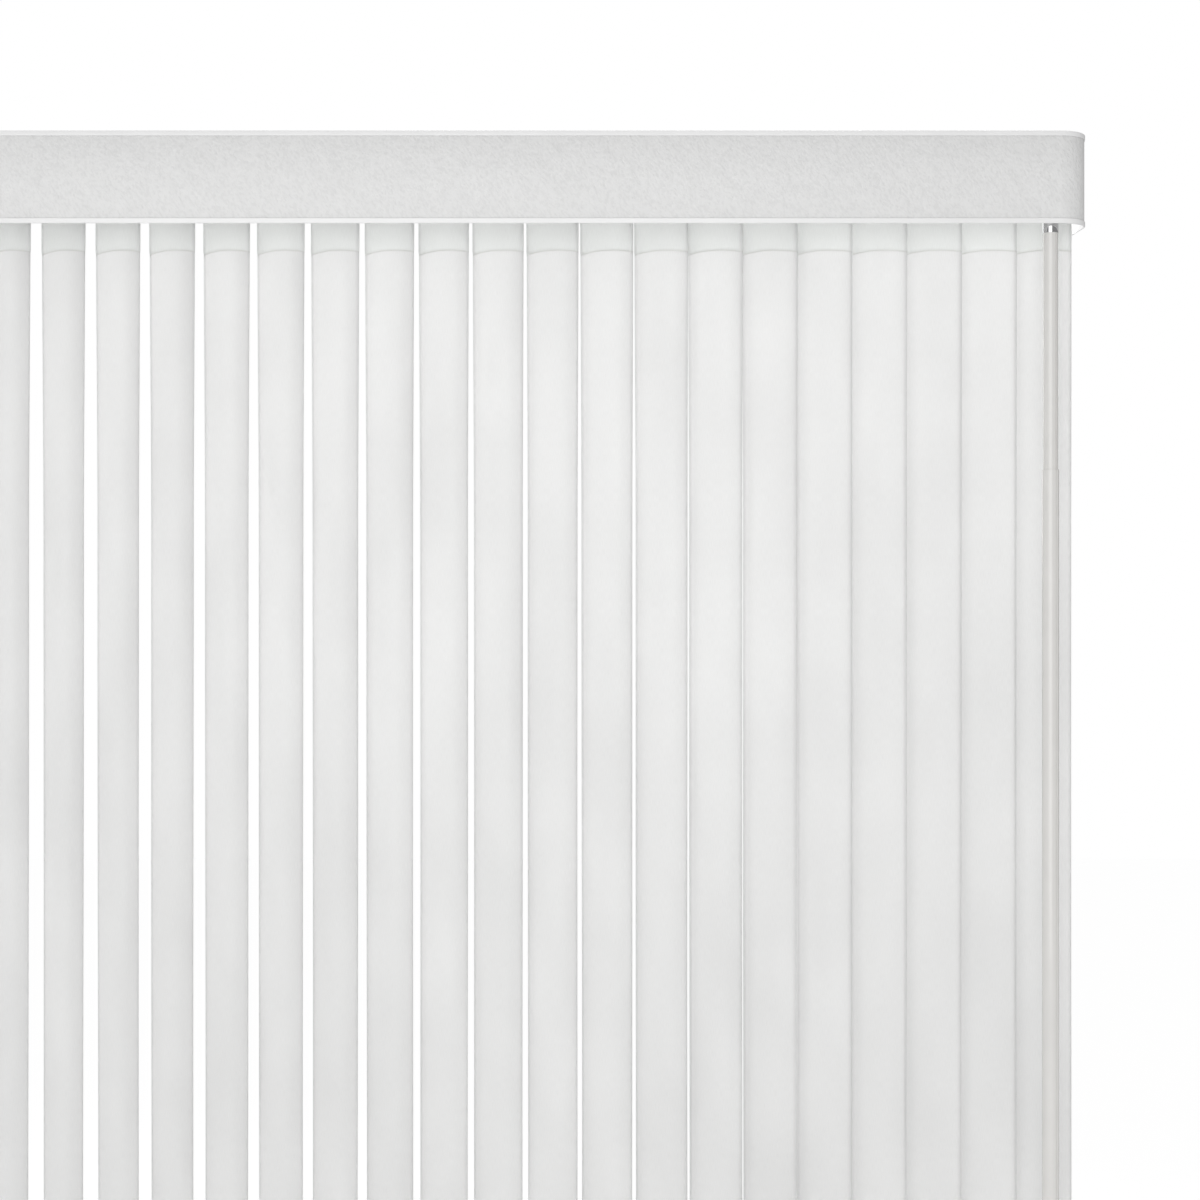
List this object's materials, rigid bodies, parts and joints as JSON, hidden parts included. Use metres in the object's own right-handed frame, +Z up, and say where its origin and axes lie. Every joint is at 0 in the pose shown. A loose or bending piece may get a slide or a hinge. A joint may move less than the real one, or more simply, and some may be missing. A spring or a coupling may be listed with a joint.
{
  "type": "vertical blind",
  "caption": "Vertical blind with bowed fabric slats on a traversing headrail, a front valance with rounded returns and a turning wand that also draws it.",
  "frame": {"origin": "middle of the two screw holes of the middle wall bracket, on the wall's face", "axes": "+Z up, +X to the right as seen from the room, +Y into the wall, so the room is towards -Y"},
  "size_m": [1.6034, 0.145, 2.169],
  "materials": {
    "rail_white": "satin",
    "cap_white": "gloss",
    "rod_metal": "drawn",
    "carrier_white": "matte",
    "slat_fabric": "matte",
    "valance_white": "gloss",
    "valance_strip": "embossed, satin",
    "clip_plastic": "matte",
    "bracket_steel": "zinc plated",
    "joint_plastic": "gloss",
    "ferrule_chrome": "polished",
    "wand_plastic": "gloss"
  },
  "bodies": {
    "mounted_rail": {"headrail": "rail_white", "end_cap_left": "cap_white", "end_cap_right": "cap_white", "valance_channel": "valance_white", "valance_insert": "valance_strip", "valance_clips": "clip_plastic", "wall_brackets": "bracket_steel", "bracket_grips": "bracket_steel", "grip_bolts": "bracket_steel", "carrier_01": "carrier_white"},
    "tilt_rod": {"tilt_rod": "rod_metal"},
    "carrier_02": {"carrier_02": "carrier_white"},
    "carrier_03": {"carrier_03": "carrier_white"},
    "carrier_04": {"carrier_04": "carrier_white"},
    "carrier_05": {"carrier_05": "carrier_white"},
    "carrier_06": {"carrier_06": "carrier_white"},
    "carrier_07": {"carrier_07": "carrier_white"},
    "carrier_08": {"carrier_08": "carrier_white"},
    "carrier_09": {"carrier_09": "carrier_white"},
    "carrier_10": {"carrier_10": "carrier_white"},
    "carrier_11": {"carrier_11": "carrier_white"},
    "carrier_12": {"carrier_12": "carrier_white"},
    "carrier_13": {"carrier_13": "carrier_white"},
    "carrier_14": {"carrier_14": "carrier_white"},
    "carrier_15": {"carrier_15": "carrier_white"},
    "carrier_16": {"carrier_16": "carrier_white"},
    "carrier_17": {"carrier_17": "carrier_white"},
    "carrier_18": {"carrier_18": "carrier_white"},
    "carrier_19": {"carrier_19": "carrier_white"},
    "carrier_20": {"carrier_20": "carrier_white", "wand_arm": "joint_plastic"},
    "slat_01": {"slat_01": "slat_fabric"},
    "slat_02": {"slat_02": "slat_fabric"},
    "slat_03": {"slat_03": "slat_fabric"},
    "slat_04": {"slat_04": "slat_fabric"},
    "slat_05": {"slat_05": "slat_fabric"},
    "slat_06": {"slat_06": "slat_fabric"},
    "slat_07": {"slat_07": "slat_fabric"},
    "slat_08": {"slat_08": "slat_fabric"},
    "slat_09": {"slat_09": "slat_fabric"},
    "slat_10": {"slat_10": "slat_fabric"},
    "slat_11": {"slat_11": "slat_fabric"},
    "slat_12": {"slat_12": "slat_fabric"},
    "slat_13": {"slat_13": "slat_fabric"},
    "slat_14": {"slat_14": "slat_fabric"},
    "slat_15": {"slat_15": "slat_fabric"},
    "slat_16": {"slat_16": "slat_fabric"},
    "slat_17": {"slat_17": "slat_fabric"},
    "slat_18": {"slat_18": "slat_fabric"},
    "slat_19": {"slat_19": "slat_fabric"},
    "slat_20": {"slat_20": "slat_fabric"},
    "wand_cross": {"wand_cross": "joint_plastic"},
    "wand_fork": {"wand_fork": "joint_plastic"},
    "wand": {"wand_ferrule": "ferrule_chrome", "wand_rod": "wand_plastic", "wand_tube": "wand_plastic"}
  },
  "joints": [
    {"name": "traverse", "type": "slide", "parent": "mounted_rail", "child": "carrier_20", "axis": [1, 0, 0], "range_m": [-1.1286, 0]},
    {"name": "wand_swing_front", "type": "hinge", "parent": "carrier_20", "child": "wand_cross", "pos_m": [0.7543, -0.122, -0.0861], "axis": [1, 0, 0], "range_deg": [-6, 0]},
    {"name": "wand_swing_side", "type": "hinge", "parent": "wand_cross", "child": "wand_fork", "pos_m": [0.7543, -0.122, -0.0861], "axis": [0, 1, 0], "range_deg": [-25, 30]},
    {"name": "wand_spin", "type": "hinge", "parent": "wand_fork", "child": "wand", "pos_m": [0.7543, -0.122, -0.0861], "axis": [0, 0, 1], "range_deg": [-645, 75]},
    {"name": "carrier_02_slide", "type": "slide", "parent": "mounted_rail", "child": "carrier_02", "axis": [1, 0, 0], "range_m": [-0.0594, 0]},
    {"name": "carrier_03_slide", "type": "slide", "parent": "mounted_rail", "child": "carrier_03", "axis": [1, 0, 0], "range_m": [-0.1188, 0]},
    {"name": "carrier_04_slide", "type": "slide", "parent": "mounted_rail", "child": "carrier_04", "axis": [1, 0, 0], "range_m": [-0.1782, 0]},
    {"name": "carrier_05_slide", "type": "slide", "parent": "mounted_rail", "child": "carrier_05", "axis": [1, 0, 0], "range_m": [-0.2376, 0]},
    {"name": "carrier_06_slide", "type": "slide", "parent": "mounted_rail", "child": "carrier_06", "axis": [1, 0, 0], "range_m": [-0.297, 0]},
    {"name": "carrier_07_slide", "type": "slide", "parent": "mounted_rail", "child": "carrier_07", "axis": [1, 0, 0], "range_m": [-0.3564, 0]},
    {"name": "carrier_08_slide", "type": "slide", "parent": "mounted_rail", "child": "carrier_08", "axis": [1, 0, 0], "range_m": [-0.4158, 0]},
    {"name": "carrier_09_slide", "type": "slide", "parent": "mounted_rail", "child": "carrier_09", "axis": [1, 0, 0], "range_m": [-0.4752, 0]},
    {"name": "carrier_10_slide", "type": "slide", "parent": "mounted_rail", "child": "carrier_10", "axis": [1, 0, 0], "range_m": [-0.5346, 0]},
    {"name": "carrier_11_slide", "type": "slide", "parent": "mounted_rail", "child": "carrier_11", "axis": [1, 0, 0], "range_m": [-0.594, 0]},
    {"name": "carrier_12_slide", "type": "slide", "parent": "mounted_rail", "child": "carrier_12", "axis": [1, 0, 0], "range_m": [-0.6534, 0]},
    {"name": "carrier_13_slide", "type": "slide", "parent": "mounted_rail", "child": "carrier_13", "axis": [1, 0, 0], "range_m": [-0.7128, 0]},
    {"name": "carrier_14_slide", "type": "slide", "parent": "mounted_rail", "child": "carrier_14", "axis": [1, 0, 0], "range_m": [-0.7722, 0]},
    {"name": "carrier_15_slide", "type": "slide", "parent": "mounted_rail", "child": "carrier_15", "axis": [1, 0, 0], "range_m": [-0.8316, 0]},
    {"name": "carrier_16_slide", "type": "slide", "parent": "mounted_rail", "child": "carrier_16", "axis": [1, 0, 0], "range_m": [-0.891, 0]},
    {"name": "carrier_17_slide", "type": "slide", "parent": "mounted_rail", "child": "carrier_17", "axis": [1, 0, 0], "range_m": [-0.9504, 0]},
    {"name": "carrier_18_slide", "type": "slide", "parent": "mounted_rail", "child": "carrier_18", "axis": [1, 0, 0], "range_m": [-1.0098, 0]},
    {"name": "carrier_19_slide", "type": "slide", "parent": "mounted_rail", "child": "carrier_19", "axis": [1, 0, 0], "range_m": [-1.0692, 0]},
    {"name": "slat_01_turn", "type": "hinge", "parent": "mounted_rail", "child": "slat_01", "pos_m": [-0.7543, -0.065, -0.06], "axis": [0, 0, 1], "range_deg": [-129, 15]},
    {"name": "slat_02_turn", "type": "hinge", "parent": "carrier_02", "child": "slat_02", "pos_m": [-0.6749, -0.065, -0.06], "axis": [0, 0, 1], "range_deg": [-129, 15]},
    {"name": "slat_03_turn", "type": "hinge", "parent": "carrier_03", "child": "slat_03", "pos_m": [-0.5955, -0.065, -0.06], "axis": [0, 0, 1], "range_deg": [-129, 15]},
    {"name": "slat_04_turn", "type": "hinge", "parent": "carrier_04", "child": "slat_04", "pos_m": [-0.5161, -0.065, -0.06], "axis": [0, 0, 1], "range_deg": [-129, 15]},
    {"name": "slat_05_turn", "type": "hinge", "parent": "carrier_05", "child": "slat_05", "pos_m": [-0.4367, -0.065, -0.06], "axis": [0, 0, 1], "range_deg": [-129, 15]},
    {"name": "slat_06_turn", "type": "hinge", "parent": "carrier_06", "child": "slat_06", "pos_m": [-0.3573, -0.065, -0.06], "axis": [0, 0, 1], "range_deg": [-129, 15]},
    {"name": "slat_07_turn", "type": "hinge", "parent": "carrier_07", "child": "slat_07", "pos_m": [-0.2779, -0.065, -0.06], "axis": [0, 0, 1], "range_deg": [-129, 15]},
    {"name": "slat_08_turn", "type": "hinge", "parent": "carrier_08", "child": "slat_08", "pos_m": [-0.1985, -0.065, -0.06], "axis": [0, 0, 1], "range_deg": [-129, 15]},
    {"name": "slat_09_turn", "type": "hinge", "parent": "carrier_09", "child": "slat_09", "pos_m": [-0.1191, -0.065, -0.06], "axis": [0, 0, 1], "range_deg": [-129, 15]},
    {"name": "slat_10_turn", "type": "hinge", "parent": "carrier_10", "child": "slat_10", "pos_m": [-0.0397, -0.065, -0.06], "axis": [0, 0, 1], "range_deg": [-129, 15]},
    {"name": "slat_11_turn", "type": "hinge", "parent": "carrier_11", "child": "slat_11", "pos_m": [0.0397, -0.065, -0.06], "axis": [0, 0, 1], "range_deg": [-129, 15]},
    {"name": "slat_12_turn", "type": "hinge", "parent": "carrier_12", "child": "slat_12", "pos_m": [0.1191, -0.065, -0.06], "axis": [0, 0, 1], "range_deg": [-129, 15]},
    {"name": "slat_13_turn", "type": "hinge", "parent": "carrier_13", "child": "slat_13", "pos_m": [0.1985, -0.065, -0.06], "axis": [0, 0, 1], "range_deg": [-129, 15]},
    {"name": "slat_14_turn", "type": "hinge", "parent": "carrier_14", "child": "slat_14", "pos_m": [0.2779, -0.065, -0.06], "axis": [0, 0, 1], "range_deg": [-129, 15]},
    {"name": "slat_15_turn", "type": "hinge", "parent": "carrier_15", "child": "slat_15", "pos_m": [0.3573, -0.065, -0.06], "axis": [0, 0, 1], "range_deg": [-129, 15]},
    {"name": "slat_16_turn", "type": "hinge", "parent": "carrier_16", "child": "slat_16", "pos_m": [0.4367, -0.065, -0.06], "axis": [0, 0, 1], "range_deg": [-129, 15]},
    {"name": "slat_17_turn", "type": "hinge", "parent": "carrier_17", "child": "slat_17", "pos_m": [0.5161, -0.065, -0.06], "axis": [0, 0, 1], "range_deg": [-129, 15]},
    {"name": "slat_18_turn", "type": "hinge", "parent": "carrier_18", "child": "slat_18", "pos_m": [0.5955, -0.065, -0.06], "axis": [0, 0, 1], "range_deg": [-129, 15]},
    {"name": "slat_19_turn", "type": "hinge", "parent": "carrier_19", "child": "slat_19", "pos_m": [0.6749, -0.065, -0.06], "axis": [0, 0, 1], "range_deg": [-129, 15]},
    {"name": "slat_20_turn", "type": "hinge", "parent": "carrier_20", "child": "slat_20", "pos_m": [0.7543, -0.065, -0.06], "axis": [0, 0, 1], "range_deg": [-129, 15]},
    {"name": "tilt_rod_turn", "type": "hinge", "parent": "mounted_rail", "child": "tilt_rod", "pos_m": [0, -0.065, -0.0355], "axis": [1, 0, 0], "range_deg": [-645, 75]}
  ],
  "couplings": [
    {"joint": "carrier_02_slide", "follows": "traverse", "ratio": 0.052632},
    {"joint": "carrier_03_slide", "follows": "traverse", "ratio": 0.10526},
    {"joint": "carrier_04_slide", "follows": "traverse", "ratio": 0.15789},
    {"joint": "carrier_05_slide", "follows": "traverse", "ratio": 0.21053},
    {"joint": "carrier_06_slide", "follows": "traverse", "ratio": 0.26316},
    {"joint": "carrier_07_slide", "follows": "traverse", "ratio": 0.31579},
    {"joint": "carrier_08_slide", "follows": "traverse", "ratio": 0.36842},
    {"joint": "carrier_09_slide", "follows": "traverse", "ratio": 0.42105},
    {"joint": "carrier_10_slide", "follows": "traverse", "ratio": 0.47368},
    {"joint": "carrier_11_slide", "follows": "traverse", "ratio": 0.52632},
    {"joint": "carrier_12_slide", "follows": "traverse", "ratio": 0.57895},
    {"joint": "carrier_13_slide", "follows": "traverse", "ratio": 0.63158},
    {"joint": "carrier_14_slide", "follows": "traverse", "ratio": 0.68421},
    {"joint": "carrier_15_slide", "follows": "traverse", "ratio": 0.73684},
    {"joint": "carrier_16_slide", "follows": "traverse", "ratio": 0.78947},
    {"joint": "carrier_17_slide", "follows": "traverse", "ratio": 0.84211},
    {"joint": "carrier_18_slide", "follows": "traverse", "ratio": 0.89474},
    {"joint": "carrier_19_slide", "follows": "traverse", "ratio": 0.94737},
    {"joint": "slat_01_turn", "follows": "wand_spin", "ratio": 0.2},
    {"joint": "slat_02_turn", "follows": "wand_spin", "ratio": 0.2},
    {"joint": "slat_03_turn", "follows": "wand_spin", "ratio": 0.2},
    {"joint": "slat_04_turn", "follows": "wand_spin", "ratio": 0.2},
    {"joint": "slat_05_turn", "follows": "wand_spin", "ratio": 0.2},
    {"joint": "slat_06_turn", "follows": "wand_spin", "ratio": 0.2},
    {"joint": "slat_07_turn", "follows": "wand_spin", "ratio": 0.2},
    {"joint": "slat_08_turn", "follows": "wand_spin", "ratio": 0.2},
    {"joint": "slat_09_turn", "follows": "wand_spin", "ratio": 0.2},
    {"joint": "slat_10_turn", "follows": "wand_spin", "ratio": 0.2},
    {"joint": "slat_11_turn", "follows": "wand_spin", "ratio": 0.2},
    {"joint": "slat_12_turn", "follows": "wand_spin", "ratio": 0.2},
    {"joint": "slat_13_turn", "follows": "wand_spin", "ratio": 0.2},
    {"joint": "slat_14_turn", "follows": "wand_spin", "ratio": 0.2},
    {"joint": "slat_15_turn", "follows": "wand_spin", "ratio": 0.2},
    {"joint": "slat_16_turn", "follows": "wand_spin", "ratio": 0.2},
    {"joint": "slat_17_turn", "follows": "wand_spin", "ratio": 0.2},
    {"joint": "slat_18_turn", "follows": "wand_spin", "ratio": 0.2},
    {"joint": "slat_19_turn", "follows": "wand_spin", "ratio": 0.2},
    {"joint": "slat_20_turn", "follows": "wand_spin", "ratio": 0.2},
    {"joint": "tilt_rod_turn", "follows": "wand_spin", "ratio": 1}
  ]
}
